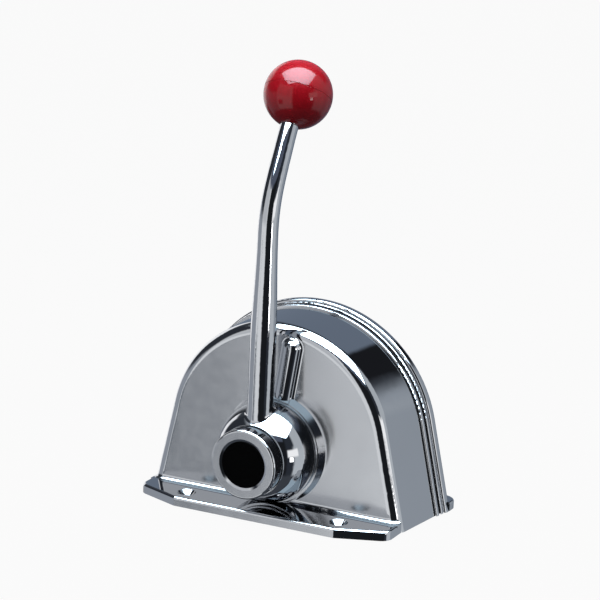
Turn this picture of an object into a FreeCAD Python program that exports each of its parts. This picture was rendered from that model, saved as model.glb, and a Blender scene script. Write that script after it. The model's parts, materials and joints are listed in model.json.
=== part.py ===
import FreeCAD, Part
import math
import os

from FreeCAD import Vector

os.makedirs("parts", exist_ok=True)

# All sizes are in millimetres and degrees.
# The origin is the centre of the four mounting holes, in the plane of the foot.
# X runs along the foot, Y from the lever side to the back, Z up.

# Housing outline: a flat foot, two straight leaning sides and one arc over the top
side_lean = 12.67
face_half_width = 92.0
face_height = 126.0
rim_side_draft = 5.2
rim_top_draft = 1.2
shell_depth = 45.0
corner_radius = 7.5
wall = 3.0

# Rim: a bead on each shell, a gasket between them and the cover's own band
bead_depth = 3.5
bead_proud = 1.7
gasket_thickness = 1.8
gasket_proud = 0.5
cover_bead_depth = 3.0
cover_bead_proud = 2.5
cover_neck_depth = 0.9
cover_neck_proud = 1.8
cover_band_depth = 7.8
cover_band_proud = 3.9
cover_band_rounding = 1.6
cover_back_rounding = 3.0
bead_rounding = 0.9
rim_notch_width = 0.9
rim_notch_depth = 0.7

# Mounting flange on each shell
flange_thickness = 6.3
flange_edge_rounding = 1.8
flange_corner_radius = 8.0
flange_chamfer_angle = 21.0
front_flange_half_width = 91.5
front_flange_reach = 29.0
front_flange_chamfer = 33.0
rear_flange_half_width = 101.5
rear_flange_reach = 24.0
rear_flange_chamfer = 42.0
foot_fillet = 3.0

# Mounting holes, countersunk for M6
hole_radius = 3.3
countersink_radius = 6.2
countersink_depth = 3.0
hole_spacing_x = 112.0
front_hole_setback = 16.5
rear_hole_setback = 11.9

# Hub boss and rib on the housing's face
hub_height = 42.4
boss_proud = 6.2
boss_base_radius = 37.2
boss_tip_radius = 35.2
boss_inner_depth = 6.0
boss_inner_radius = 16.0
rib_radius = 6.0
rib_lean = 8.9
rib_top_gap = 0.1
rib_fillet = 2.5

# Lever hub
hub_reach = 44.0
hub_running_gap = 0.6
ring_radius = 23.0
ring_length = 9.5
ring_edge_rounding = 1.4
neck_radius = 21.6
neck_length = 1.6
shoulder_radius = 23.4
shoulder_length = 1.2
bell_radius = 33.4
bell_rim_length = 4.0
bell_rim_rounding = 1.5
bell_wall = 3.2
core_radius = 14.0

# Lever rod: a straight run, a tight bend inboard and a long slow bend up to the ball
rod_setback = 22.8
rod_lean = 1.7
rod_straight_height = 188.0
rod_bend_radius = 80.0
rod_bend_angle = 23.0
rod_slow_radius = 433.0
rod_end_height = 254.6
rod_root_radius = 8.5
rod_taper_start = 115.0
rod_taper_end = 188.0
rod_waist_radius = 6.65
rod_tip_radius = 5.9
rod_stations = 17
rod_fillet = 3.5

# Knob and the stud inside it
knob_radius = 22.25
knob_flat_radius = 7.0
knob_seam_radius = 0.22
stud_radius = 4.0
stud_length = 14.0

# Push button in the hub
button_clearance = 0.10
button_radius = 15.3
button_recess = 0.35
button_skirt = 12.0
button_travel = 3.0
button_wall = 2.4
button_floor_gap = 1.15
button_edge_rounding = 0.4
ring_bevel_width = 1.6
ring_bevel_depth = 0.7
seal_radius = 0.7
seal_setback = 5.5
seal_clearance = 0.05
button_spring_wire = 0.7
button_spring_radius = 10.6
button_spring_turns = 3.0

# Lever shaft and its bearings
shaft_radius = 8.0
shaft_front_setback = 20.2
fit_clearance = 0.02
running_clearance = 0.05
bush_wall = 3.0
bush_flange_radius = 14.0
bush_flange_thickness = 1.5
thrust_washer_thickness = 1.5
thrust_gap = 0.05
hub_bolt_radius = 4.0
hub_bolt_head_radius = 6.5
hub_bolt_head_height = 5.0
hub_bolt_length = 24.0
hub_washer_radius = 8.5
hub_washer_thickness = 1.4
hub_bolt_socket = 3.0
hub_bolt_socket_depth = 3.0
hub_bolt_socket_sides = 6
hub_key_length = 12.0

# Mechanism plate and its standoffs
plate_setback = 34.5
plate_thickness = 3.0
standoff_radius = 5.0
standoff_stud_radius = 2.5
standoff_seat_radius = 7.0
standoff_seat_height = 5.0
standoff_side_gap = 19.0
standoff_low_z = 35.0
standoff_high_x = 22.0
standoff_high_gap = 6.5
plate_margin = 8.0
plate_screw_radius = 2.5
plate_screw_head_radius = 4.5
plate_screw_head_height = 3.0
plate_screw_length = 14.0

# Detent wheel, block, ball, spring and screw
detent_radius = 20.0
detent_thickness = 4.0
detent_wheel_gap = 0.3
detent_collar_radius = 11.5
detent_notch_angle = 28.0
detent_notch_depth = 1.2
detent_ball_radius = 3.0
detent_ball_gap = 0.3
detent_bore_clearance = 0.1
detent_block_width = 14.0
detent_block_wall = 2.6
detent_block_height = 20.0
detent_block_lift = 2.4
detent_pad_height = 1.8
detent_ear_thickness = 3.0
detent_ear_height = 12.0
detent_pad_radius = 5.0
detent_head_gap = 0.5
detent_ear_margin = 1.0
detent_screw_radius = 2.0
detent_screw_length = 7.0
detent_screw_head_radius = 3.6
detent_screw_head_height = 2.2
detent_plug_length = 5.0
detent_plug_slot_depth = 1.7
detent_spring_wire = 0.45
detent_spring_radius = 1.98
detent_spring_turns = 5.0

# Gears: the drive gear on the lever shaft turns the shift gear on its stub
gear_module = 1.5
pressure_angle = 20.0
drive_teeth = 18
shift_teeth = 30
gear_width = 8.0
gear_front_setback = 19.5
gear_line_angle = 22.0
gear_backlash = 0.30
gear_dedendum = 1.25
flank_steps = 3
drum_radius = 11.5
drum_length = 6.5
key_width = 4.0
key_height = 4.0
key_depth = 2.0
stub_radius = 5.0
stub_collar_radius = 7.0
stub_gap = 0.3
shift_arm_length = 30.0
shift_arm_thickness = 4.0
arm_end_radius = 6.5
shift_hub_radius = 10.5
rivet_count = 3
rivet_first_angle = 60.0
rivet_circle_radius = 7.8
rivet_radius = 1.2
rivet_head_radius = 2.0
rivet_head_height = 0.8

# Throttle arm at the back end of the shaft
throttle_arm_length = 30.0
throttle_arm_thickness = 4.0
throttle_arm_hub_radius = 13.0
throttle_arm_gap = 1.5
ring_clip_thickness = 1.2
ring_clip_height = 2.6
ring_groove_depth = 0.7
shaft_end_margin = 0.8

# Cable swivels on the arms, and the trunnions that hold the cable jackets
swivel_radius = 5.0
swivel_length = 10.5
swivel_pin_radius = 3.0
swivel_hole_radius = 2.55
swivel_gap = 0.4
clip_radius = 4.8
clip_thickness = 0.8
clip_gap = 0.2
clip_margin = 0.6
trunnion_radius = 7.0
trunnion_pin_radius = 3.0
trunnion_hole_radius = 4.1
trunnion_gap = 0.4
trunnion_height = 17.5
bracket_thickness = 2.5
bracket_far_ear_thickness = 2.0
bracket_half_height = 8.5
bracket_side_gap = 2.0
bracket_foot_length = 24.0
bracket_screw_radius = 2.0
bracket_screw_head_radius = 3.6
bracket_screw_head_height = 2.2
bracket_screw_spacing = 10.0

# Friction brake on the drum of the drive gear
shoe_gap = 0.3
shoe_length = 20.0
shoe_half_height = 5.0
shoe_half_width = 2.5
guide_wall = 2.3
guide_clearance = 0.2
guide_gear_gap = 2.0
guide_length = 30.0
guide_foot_reach = 10.0
guide_screw_offset = 5.5
friction_screw_radius = 2.4
friction_screw_length = 9.0
friction_screw_head_radius = 3.4
friction_screw_head_height = 4.0
friction_spring_wire = 0.6
friction_spring_radius = 1.7
friction_spring_turns = 3.0

# Cover screws in bosses along the front shell's rim
cover_boss_radius = 5.5
cover_boss_length = 8.5
cover_boss_inset = 4.6
cover_screw_radius = 2.0
cover_screw_head_radius = 4.0
cover_screw_head_height = 2.0
cover_screw_grip = 6.0
cover_low_height = 17.0
cover_high_angle = 56.0

# Screw slots, and how far a cutting shape runs past the face that it opens
screw_slot_half_width = 0.5
past = 1.0

# Places that follow from the sizes above
lean_tan = math.tan(math.radians(side_lean))
lean_cos = math.cos(math.radians(side_lean))
lean_sin = math.sin(math.radians(side_lean))
rim_half_width = face_half_width + rim_side_draft
rim_height = face_height + rim_top_draft
cover_depth = cover_bead_depth + cover_neck_depth + cover_band_depth
body_depth = shell_depth + bead_depth + gasket_thickness + cover_depth
hole_spacing_y = front_hole_setback + body_depth + rear_hole_setback
face_y = -hole_spacing_y / 2 + front_hole_setback
rim_y = face_y + shell_depth
shell_back_y = rim_y + bead_depth
cover_front_y = shell_back_y + gasket_thickness
cover_neck_y = cover_front_y + cover_bead_depth
cover_band_y = cover_neck_y + cover_neck_depth
cover_back_y = cover_band_y + cover_band_depth
inner_face_y = face_y + wall
boss_front_y = face_y - boss_proud
boss_inner_y = inner_face_y + boss_inner_depth
hub_front_y = face_y - hub_reach
hub_back_y = boss_front_y - hub_running_gap
cup_floor_y = hub_front_y + button_recess + button_skirt + button_travel + button_floor_gap
shaft_front_y = hub_front_y + shaft_front_setback
core_back_y = boss_front_y - thrust_gap - thrust_washer_thickness
plate_front_y = face_y + plate_setback
plate_back_y = plate_front_y + plate_thickness
seat_top_y = inner_face_y + standoff_seat_height
bush_radius = shaft_radius + running_clearance + bush_wall
wheel_front_y = boss_inner_y + detent_wheel_gap
wheel_back_y = wheel_front_y + detent_thickness
ball_y = wheel_front_y + detent_thickness / 2
ball_z = hub_height + detent_radius + detent_ball_gap + detent_ball_radius
block_front_y = inner_face_y + detent_pad_height
block_back_y = ball_y + detent_ball_radius + detent_bore_clearance + detent_block_wall
block_low_z = hub_height + detent_radius + detent_block_lift
block_high_z = block_low_z + detent_block_height
standoff_low_x = face_half_width - standoff_side_gap
standoff_high_z = block_high_z + standoff_high_gap
gear_front_y = face_y + gear_front_setback
gear_back_y = gear_front_y + gear_width
drum_back_y = gear_back_y + drum_length
throttle_front_y = plate_back_y + bush_flange_thickness + throttle_arm_gap
throttle_back_y = throttle_front_y + throttle_arm_thickness
ring_front_y = throttle_back_y
shaft_back_y = ring_front_y + ring_clip_thickness + shaft_end_margin
drive_pitch_radius = gear_module * drive_teeth / 2
drive_tip_radius = drive_pitch_radius + gear_module
shift_pitch_radius = gear_module * shift_teeth / 2
gear_distance = drive_pitch_radius + shift_pitch_radius
stub_x = gear_distance * math.cos(math.radians(gear_line_angle))
stub_z = hub_height + gear_distance * math.sin(math.radians(gear_line_angle))
arm_front_y = gear_back_y
arm_back_y = arm_front_y + shift_arm_thickness
shift_pin_x = stub_x + shift_arm_length
throttle_pin_z = hub_height + throttle_arm_length
cup_radius = button_radius + button_clearance
button_front_y = hub_front_y + button_recess
throttle_cable_y = throttle_back_y + swivel_gap + swivel_length / 2
shift_cable_y = arm_front_y - swivel_gap - swivel_length / 2
throttle_far_y = cover_back_y - wall - bracket_far_ear_thickness - trunnion_gap
shift_far_y = shift_cable_y - trunnion_radius - trunnion_gap
throttle_pin = (0.0, throttle_pin_z, throttle_front_y, throttle_back_y, 1)
shift_pin = (shift_pin_x, stub_z, arm_front_y, arm_back_y, -1)
throttle_holder = (0.0, plate_back_y, throttle_far_y)
shift_holder = (shift_pin_x, plate_front_y, shift_far_y)
guide_right_x = -(drive_tip_radius + guide_gear_gap)
guide_left_x = guide_right_x - guide_length
shoe_y = gear_back_y + (drum_length - shoe_half_width * 2) / 2 + shoe_half_width
shoe_right_x = -(drum_radius + shoe_gap)
shoe_left_x = shoe_right_x - shoe_length
shoe_tip_x = -math.sqrt(drum_radius**2 - shoe_half_height**2)


def save(shape, node):
    shape.exportStep("parts/" + node + ".step")


def group(shapes):
    return Part.makeCompound(shapes)


def fuse_all(shapes):
    return shapes[0].fuse(shapes[1:]).removeSplitter()


def pin_y(radius, front, back, x=0.0, z=hub_height):
    """Round bar along Y."""
    return Part.makeCylinder(radius, back - front, Vector(x, front, z), Vector(0, 1, 0))


def pin_x(radius, left, right, y, z):
    """Round bar along X."""
    return Part.makeCylinder(radius, right - left, Vector(left, y, z), Vector(1, 0, 0))


def pin_z(radius, low, high, x, y):
    """Round bar along Z."""
    return Part.makeCylinder(radius, high - low, Vector(x, y, low), Vector(0, 0, 1))


def ring_y(outer, inner, front, back, x=0.0, z=hub_height):
    return pin_y(outer, front, back, x, z).cut(pin_y(inner, front - past, back + past, x, z))


def block(low, high):
    size = high - low
    return Part.makeBox(size.x, size.y, size.z, low)


def turned_y(points, x=0.0, z=hub_height):
    """Solid of revolution about a Y axis, from (radius, y) points or ready edges."""
    corners = [Vector(x + radius, y, z) for radius, y in points]
    wire = Part.makePolygon(corners + [corners[0]])
    return Part.Face(wire).revolve(Vector(x, 0, z), Vector(0, 1, 0), 360)


def plate_xz(points, front, back):
    """Flat plate with an outline in X and Z."""
    corners = [Vector(x, front, z) for x, z in points]
    face = Part.Face(Part.makePolygon(corners + [corners[0]]))
    return face.extrude(Vector(0, back - front, 0))


def spring(wire_radius, coil_radius, length, turns, start, direction):
    """Compression spring with open ends."""
    pitch = (length - 2 * wire_radius) / turns
    helix = Part.makeHelix(pitch, length - 2 * wire_radius, coil_radius)
    circle = Part.makeCircle(wire_radius, Vector(coil_radius, 0, 0), Vector(0, 1, 0))
    coil = Part.Wire(helix).makePipeShell([Part.Wire([circle])], True, True)
    coil.translate(Vector(0, 0, wire_radius))
    turn = FreeCAD.Rotation(Vector(0, 0, 1), direction)
    coil.Placement = FreeCAD.Placement(start, turn).multiply(coil.Placement)
    return coil


def dome_values(half_width, height):
    """Radius and centre height of the arc that closes two leaning sides at the given height."""
    centre = (height - half_width * lean_cos) / (1 - lean_sin)
    return height - centre, centre


def dome_wire(half_width, height, y, base=0.0):
    """The housing's outline at one depth, from the foot (or below it) over the top."""
    radius, centre = dome_values(half_width, height)
    touch_x = radius * lean_cos
    touch_z = centre + radius * lean_sin
    foot_x = half_width - base * lean_tan
    right_foot = Vector(foot_x, y, base)
    right_touch = Vector(touch_x, y, touch_z)
    left_touch = Vector(-touch_x, y, touch_z)
    left_foot = Vector(-foot_x, y, base)
    edges = [
        Part.LineSegment(left_foot, right_foot).toShape(),
        Part.LineSegment(right_foot, right_touch).toShape(),
        Part.Arc(right_touch, Vector(0, y, height), left_touch).toShape(),
        Part.LineSegment(left_touch, left_foot).toShape(),
    ]
    return Part.Wire(edges)


def dome_loft(front, back, base=0.0):
    """Solid between two outlines, each given as (half width, height, y)."""
    wires = [dome_wire(*front, base), dome_wire(*back, base)]
    return Part.makeLoft(wires, True, True)


def proud(amount):
    """Half width and height of the rim outline, offset outward by an amount."""
    return rim_half_width + amount / lean_cos, rim_height + amount


def dome_band(amount, front_y, back_y, base=0.0):
    """Straight band that follows the rim outline at an offset."""
    half_width, height = proud(amount)
    return dome_loft((half_width, height, front_y), (half_width, height, back_y), base)


def outline_edges(solid, y):
    """Edges of the leaning sides and the top arc at one depth."""
    found = []
    for edge in solid.Edges:
        box = edge.BoundBox
        in_plane = abs(box.YMin - y) < 0.01 and abs(box.YMax - y) < 0.01
        if in_plane and box.ZMax > 1.0:
            found.append(edge)
    return found


def flange(half_width, wall_y, reach, chamfer):
    """Foot flange: straight end sides, chamfered corners, and a rounded top edge."""
    direction = 1 if reach > 0 else -1
    flat_half_width = half_width - chamfer
    run = chamfer * math.tan(math.radians(flange_chamfer_angle))
    tip = wall_y + reach
    shoulder = tip - direction * run
    root = wall_y - direction * wall
    points = [(-half_width, root), (-half_width, shoulder), (-flat_half_width, tip)]
    points += [(-x, y) for x, y in reversed(points)]
    corners = [Vector(x, y, 0) for x, y in points]
    face = Part.Face(Part.makePolygon(corners + [corners[0]]))
    solid = face.extrude(Vector(0, 0, flange_thickness))
    upright = []
    for edge in solid.Edges:
        box = edge.BoundBox
        if box.ZLength > flange_thickness / 2 and abs(box.Center.y - shoulder) < 0.1:
            upright.append(edge)
    solid = solid.makeFillet(flange_corner_radius, upright)
    top_edges = []
    for edge in solid.Edges:
        box = edge.BoundBox
        on_top = box.ZMin > flange_thickness - 0.01
        at_root = abs(box.YMin - root) < 0.1 and abs(box.YMax - root) < 0.1
        if on_top and not at_root:
            top_edges.append(edge)
    return solid.makeFillet(flange_edge_rounding, top_edges)


def mounting_hole(x, y):
    hole = pin_z(hole_radius, -past, flange_thickness + past, x, y)
    sink = Part.makeCone(
        hole_radius,
        countersink_radius,
        countersink_depth,
        Vector(x, y, flange_thickness - countersink_depth),
        Vector(0, 0, 1),
    )
    return fuse_all([hole, sink])


def rib_length():
    """Length from the hub's axis to the centre of the rib's end, which stays on the flat face."""
    arc_radius, arc_centre = dome_values(face_half_width, face_height)
    reach = arc_radius - corner_radius - rib_radius - rib_top_gap
    lean = math.radians(rib_lean)
    lift = arc_centre - hub_height
    return lift * math.cos(lean) + math.sqrt(reach**2 - (lift * math.sin(lean)) ** 2)


def rib():
    """Rounded rib that leans away from the hub and ends in a ball below the top corner."""
    lean = math.radians(rib_lean)
    length = rib_length()
    start = Vector(0, face_y, hub_height)
    along = Vector(math.sin(lean), 0, math.cos(lean))
    end = start + along * length
    bar = Part.makeCylinder(rib_radius, length, start, along)
    tip = Part.makeSphere(rib_radius, end)
    return fuse_all([bar, tip])


def standoff_places():
    low = [(side * standoff_low_x, standoff_low_z) for side in (-1, 1)]
    high = [(side * standoff_high_x, standoff_high_z) for side in (-1, 1)]
    return low + high


def cover_screw_places():
    """Centres of the cover screws, set in from the inner outline of the rim."""
    radius, centre = dome_values(*proud(-wall))
    inner = radius - cover_boss_inset
    angle = math.radians(cover_high_angle)
    low_x = rim_half_width - wall / lean_cos - cover_low_height * lean_tan - cover_boss_inset
    places = [(side * low_x, cover_low_height) for side in (-1, 1)]
    places += [(side * inner * math.sin(angle), centre + inner * math.cos(angle)) for side in (-1, 1)]
    places.append((0.0, centre + inner))
    return places


def detent_screw_places():
    """Two screws hold the block's ears to pads behind the housing's face."""
    middle = (block_low_z + block_high_z) / 2
    half = detent_block_width / 2 + detent_screw_head_radius + detent_head_gap
    return [(side * half, middle) for side in (-1, 1)]


def rib_foot_edges(solid):
    """Edges where the rib stands on the flat face."""
    reach = rib_radius + past
    right = rib_length() * math.sin(math.radians(rib_lean)) + reach
    found = []
    for edge in solid.Edges:
        box = edge.BoundBox
        on_face = abs(box.YMin - face_y) < 0.01 and abs(box.YMax - face_y) < 0.01
        beside_rib = box.XMin > -reach and box.XMax < right
        if on_face and beside_rib and box.ZMin > hub_height - reach:
            found.append(edge)
    return found


def outer_form():
    """Outside of the housing: leaning walls, rounded face edge, rib and hub boss."""
    outer = dome_loft(
        (face_half_width, face_height, face_y), (rim_half_width, rim_height, rim_y)
    )
    outer = outer.makeFillet(corner_radius, outline_edges(outer, face_y))
    inside_guard = block(
        Vector(-face_half_width, face_y, 0), Vector(face_half_width, rim_y, face_height)
    )
    outer = outer.fuse(rib().cut(inside_guard))
    outer = outer.makeFillet(rib_fillet, rib_foot_edges(outer))
    boss = Part.makeCone(
        boss_base_radius,
        boss_tip_radius,
        boss_proud,
        Vector(0, face_y, hub_height),
        Vector(0, -1, 0),
    )
    return outer.fuse(boss)


def foot_blend(outer):
    """Concave blend between the face's foot and the flange, as long as the flange is wide."""
    slab_reach = rim_half_width + foot_fillet + past
    slab = block(
        Vector(-slab_reach, face_y - front_flange_reach, 0), Vector(slab_reach, rim_y, flange_thickness)
    )
    joined = outer.fuse(slab)
    meeting = []
    for edge in joined.Edges:
        box = edge.BoundBox
        level = abs(box.ZMin - flange_thickness) < 0.01 and abs(box.ZMax - flange_thickness) < 0.01
        on_wall = box.YMin > face_y - 0.1 and box.XMax - box.XMin < 2 * face_half_width
        inside_slab = max(box.XMax, -box.XMin) < rim_half_width and box.YMax < rim_y + 0.1
        if level and on_wall and inside_slab:
            meeting.append(edge)
    blended = joined.makeFillet(foot_fillet, meeting)
    clip = block(
        Vector(-front_flange_half_width, face_y - foot_fillet, 0),
        Vector(front_flange_half_width, inner_face_y, flange_thickness + foot_fillet + past),
    )
    return blended.common(clip)


def rim_notch(amount, front_y, back_y):
    """Index notch across the top of one bead or band, where the lever stands in neutral."""
    half = rim_notch_width / 2
    top = rim_height + amount
    return block(Vector(-half, front_y, top - rim_notch_depth), Vector(half, back_y, top + past))


def front_housing():
    outer = outer_form()
    foot = flange(front_flange_half_width, face_y, -front_flange_reach, front_flange_chamfer)
    bead = dome_band(bead_proud, rim_y, shell_back_y)
    bead = bead.makeFillet(bead_rounding, outline_edges(bead, rim_y) + outline_edges(bead, shell_back_y))
    bead = bead.cut(rim_notch(bead_proud, rim_y, shell_back_y))
    solid = fuse_all([outer, foot, foot_blend(outer), bead])
    hollow_front = (
        face_half_width - wall / lean_cos,
        face_height - wall,
        inner_face_y,
    )
    hollow_back = (*proud(-wall), shell_back_y + past)
    hollow = dome_loft(hollow_front, hollow_back, -1.0)
    hollow = hollow.makeFillet(corner_radius - wall, outline_edges(hollow, inner_face_y))
    solid = solid.cut(hollow)
    inner_boss = pin_y(boss_inner_radius, face_y, boss_inner_y)
    seats = []
    for x, z in standoff_places():
        seats.append(pin_y(standoff_seat_radius, face_y + past, seat_top_y, x, z))
    for x, z in detent_screw_places():
        seats.append(pin_y(detent_pad_radius, face_y + past, block_front_y, x, z))
    for x, z in cover_screw_places():
        seats.append(pin_y(cover_boss_radius, shell_back_y - cover_boss_length, shell_back_y, x, z))
    envelope = dome_loft(
        (face_half_width, face_height, face_y), (rim_half_width, rim_height, shell_back_y)
    )
    seats = [seat.common(envelope) for seat in seats]
    solid = fuse_all([solid, inner_boss] + seats)
    holes = [pin_y(bush_radius + fit_clearance, boss_front_y - past, boss_inner_y + past)]
    flange_pocket_y = boss_front_y + bush_flange_thickness
    holes.append(pin_y(bush_flange_radius + running_clearance, boss_front_y - past, flange_pocket_y))
    for side in (-1, 1):
        holes.append(mounting_hole(side * hole_spacing_x / 2, -hole_spacing_y / 2))
    for x, z in cover_screw_places():
        tapped = cover_screw_radius + fit_clearance
        holes.append(pin_y(tapped, shell_back_y - cover_screw_grip, shell_back_y + past, x, z))
    for x, z in standoff_places():
        socket = standoff_stud_radius + fit_clearance
        holes.append(pin_y(socket, inner_face_y, seat_top_y + past, x, z))
    for x, z in detent_screw_places():
        tapped = detent_screw_radius + fit_clearance
        deep = block_front_y + detent_ear_thickness - detent_screw_length
        holes.append(pin_y(tapped, deep, block_front_y + past, x, z))
    return solid.cut(group(holes))


def rear_cover():
    bead = dome_band(cover_bead_proud, cover_front_y, cover_neck_y)
    bead_ends = outline_edges(bead, cover_front_y) + outline_edges(bead, cover_neck_y)
    bead = bead.makeFillet(bead_rounding, bead_ends)
    neck = dome_band(cover_neck_proud, cover_front_y, cover_band_y)
    band = dome_band(cover_band_proud, cover_band_y, cover_back_y)
    band = band.makeFillet(cover_band_rounding, outline_edges(band, cover_band_y))
    band = band.makeFillet(cover_back_rounding, outline_edges(band, cover_back_y))
    foot = flange(rear_flange_half_width, cover_back_y, rear_flange_reach, rear_flange_chamfer)
    bead = bead.cut(rim_notch(cover_bead_proud, cover_front_y, cover_neck_y))
    band = band.cut(rim_notch(cover_band_proud, cover_band_y, cover_back_y))
    solid = fuse_all([bead, neck, band, foot])
    solid = solid.cut(dome_band(-wall, cover_front_y - past, cover_back_y - wall, -1.0))
    envelope = dome_band(0.0, cover_front_y, cover_back_y)
    bosses = []
    holes = []
    for x, z in cover_screw_places():
        boss = pin_y(cover_boss_radius, cover_front_y, cover_back_y - wall / 2, x, z)
        bosses.append(boss.common(envelope))
        passage = cover_screw_radius + fit_clearance
        holes.append(pin_y(passage, cover_front_y - past, cover_back_y + past, x, z))
        holes.append(countersink_y(x, z, fit_clearance))
    solid = fuse_all([solid] + bosses)
    for side in (-1, 1):
        holes.append(mounting_hole(side * hole_spacing_x / 2, hole_spacing_y / 2))
    return solid.cut(group(holes))


def countersink_y(x, z, clearance=0.0):
    """Cone of a cover screw's head, flush with the cover's back."""
    return Part.makeCone(
        cover_screw_radius + clearance,
        cover_screw_head_radius + clearance,
        cover_screw_head_height,
        Vector(x, cover_back_y - cover_screw_head_height, z),
        Vector(0, 1, 0),
    )


def cover_screws():
    screws = []
    for x, z in cover_screw_places():
        shank = pin_y(cover_screw_radius, shell_back_y - cover_screw_grip, cover_back_y, x, z)
        screw = fuse_all([shank, countersink_y(x, z)])
        slot_half = cover_screw_head_radius
        slot = block(
            Vector(x - slot_half, cover_back_y - cover_screw_head_height / 2, z - screw_slot_half_width),
            Vector(x + slot_half, cover_back_y + past, z + screw_slot_half_width),
        )
        screws.append(screw.cut(slot))
    return group(screws)


def housing_gasket():
    solid = dome_band(gasket_proud, shell_back_y, cover_front_y)
    solid = solid.cut(dome_band(-wall, shell_back_y - past, cover_front_y + past, -1.0))
    envelope = dome_band(0.0, shell_back_y, cover_front_y)
    ears = []
    holes = []
    for x, z in cover_screw_places():
        ears.append(pin_y(cover_boss_radius, shell_back_y, cover_front_y, x, z).common(envelope))
        passage = cover_screw_radius + fit_clearance
        holes.append(pin_y(passage, shell_back_y - past, cover_front_y + past, x, z))
    return fuse_all([solid] + ears).cut(group(holes))


def rod_point(height):
    """Place and lean of the rod's centre line at a height, in the plane X = 0."""
    lean = math.radians(rod_lean)
    start_y = face_y - rod_setback
    if height <= rod_straight_height:
        return start_y + (height - hub_height) * math.tan(lean), lean
    bend_y = start_y + (rod_straight_height - hub_height) * math.tan(lean)
    bent = lean + math.radians(rod_bend_angle)
    bend_top = rod_straight_height + rod_bend_radius * (math.sin(bent) - math.sin(lean))
    if height <= bend_top:
        here = math.asin(math.sin(lean) + (height - rod_straight_height) / rod_bend_radius)
        return bend_y + rod_bend_radius * (math.cos(lean) - math.cos(here)), here
    slow_y = bend_y + rod_bend_radius * (math.cos(lean) - math.cos(bent))
    here = math.asin(math.sin(bent) + (height - bend_top) / rod_slow_radius)
    return slow_y + rod_slow_radius * (math.cos(bent) - math.cos(here)), here


def rod_radius(height):
    """Even up to the taper, then a smooth taper to the waist and a slow one to the tip."""
    if height >= rod_taper_end:
        part = (height - rod_taper_end) / (rod_end_height - rod_taper_end)
        return rod_waist_radius + part * (rod_tip_radius - rod_waist_radius)
    part = max(0.0, (height - rod_taper_start) / (rod_taper_end - rod_taper_start))
    blend = part * part * (3 - 2 * part)
    return rod_root_radius + blend * (rod_waist_radius - rod_root_radius)


def rod():
    root_height = hub_height + cup_radius - past
    circles = []
    for station in range(rod_stations):
        height = root_height + (rod_end_height - root_height) * station / (rod_stations - 1)
        y, lean = rod_point(height)
        normal = Vector(0, math.sin(lean), math.cos(lean))
        circle = Part.makeCircle(rod_radius(height), Vector(0, y, height), normal)
        circles.append(Part.Wire([circle]))
    return Part.makeLoft(circles, True, False)


def knob_place():
    """End of the rod, its direction there and the centre of the ball."""
    y, lean = rod_point(rod_end_height)
    end = Vector(0, y, rod_end_height)
    along = Vector(0, math.sin(lean), math.cos(lean))
    seat = math.sqrt(knob_radius**2 - knob_flat_radius**2)
    return end, along, end + along * seat


def bell_sizes():
    """Depths of the bell's two ends and the radius of the arc that is tangent to its rim."""
    front = hub_front_y + ring_length + neck_length + shoulder_length
    back = hub_back_y - bell_rim_length
    rise = bell_radius - shoulder_radius
    arc = (rise**2 + (back - front) ** 2) / (2 * rise)
    return front, back, arc


def bell_place(arc, y):
    """Point on the bell's outer or inner arc at one depth, both about the same centre."""
    _, back, outer_arc = bell_sizes()
    radius = bell_radius - outer_arc + math.sqrt(arc**2 - (back - y) ** 2)
    return Vector(radius, y, hub_height)


def turned_wire(points):
    return [Part.LineSegment(a, b).toShape() for a, b in zip(points, points[1:])]


def turned(edges):
    face = Part.Face(Part.Wire(edges))
    return face.revolve(Vector(0, 0, hub_height), Vector(0, 1, 0), 360)


def hub_body():
    """Ring, neck, shoulder and bell without their hollows."""
    neck_front = hub_front_y + ring_length
    neck_back = neck_front + neck_length
    bell_front, rim_front, bell_arc = bell_sizes()
    front = [
        Vector(0, hub_front_y, hub_height),
        Vector(ring_radius, hub_front_y, hub_height),
        Vector(ring_radius, neck_front, hub_height),
        Vector(neck_radius, neck_front, hub_height),
        Vector(neck_radius, neck_back, hub_height),
        Vector(shoulder_radius, neck_back, hub_height),
        Vector(shoulder_radius, bell_front, hub_height),
    ]
    rim = [
        Vector(bell_radius, rim_front, hub_height),
        Vector(bell_radius, hub_back_y, hub_height),
        Vector(0, hub_back_y, hub_height),
        front[0],
    ]
    arc = Part.Arc(front[-1], bell_place(bell_arc, (bell_front + rim_front) / 2), rim[0]).toShape()
    hub = turned(turned_wire(front) + [arc] + turned_wire(rim))
    hub = hub.makeFillet(ring_edge_rounding, round_edges(hub, ring_radius, hub_front_y))
    return hub.makeFillet(bell_rim_rounding, round_edges(hub, bell_radius, hub_back_y))


def hub_cup():
    """Cup for the push button, with a bevel at its mouth."""
    points = [
        (0, hub_front_y - past),
        (cup_radius + ring_bevel_width, hub_front_y - past),
        (cup_radius + ring_bevel_width, hub_front_y),
        (cup_radius, hub_front_y + ring_bevel_depth),
        (cup_radius, cup_floor_y),
        (0, cup_floor_y),
    ]
    return turned_y(points)


def bell_hollow():
    """Space between the hub's core and the bell's wall, open towards the housing."""
    _, rim_front, bell_arc = bell_sizes()
    inner_arc = bell_arc - bell_wall
    hollow_front = cup_floor_y + wall
    start = bell_place(inner_arc, hollow_front)
    middle = bell_place(inner_arc, (hollow_front + rim_front) / 2)
    rim = [
        Vector(bell_radius - bell_wall, rim_front, hub_height),
        Vector(bell_radius - bell_wall, hub_back_y + past, hub_height),
        Vector(0, hub_back_y + past, hub_height),
        Vector(0, core_back_y, hub_height),
        Vector(core_radius, core_back_y, hub_height),
        Vector(core_radius, hollow_front, hub_height),
        start,
    ]
    return turned([Part.Arc(start, middle, rim[0]).toShape()] + turned_wire(rim))


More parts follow.
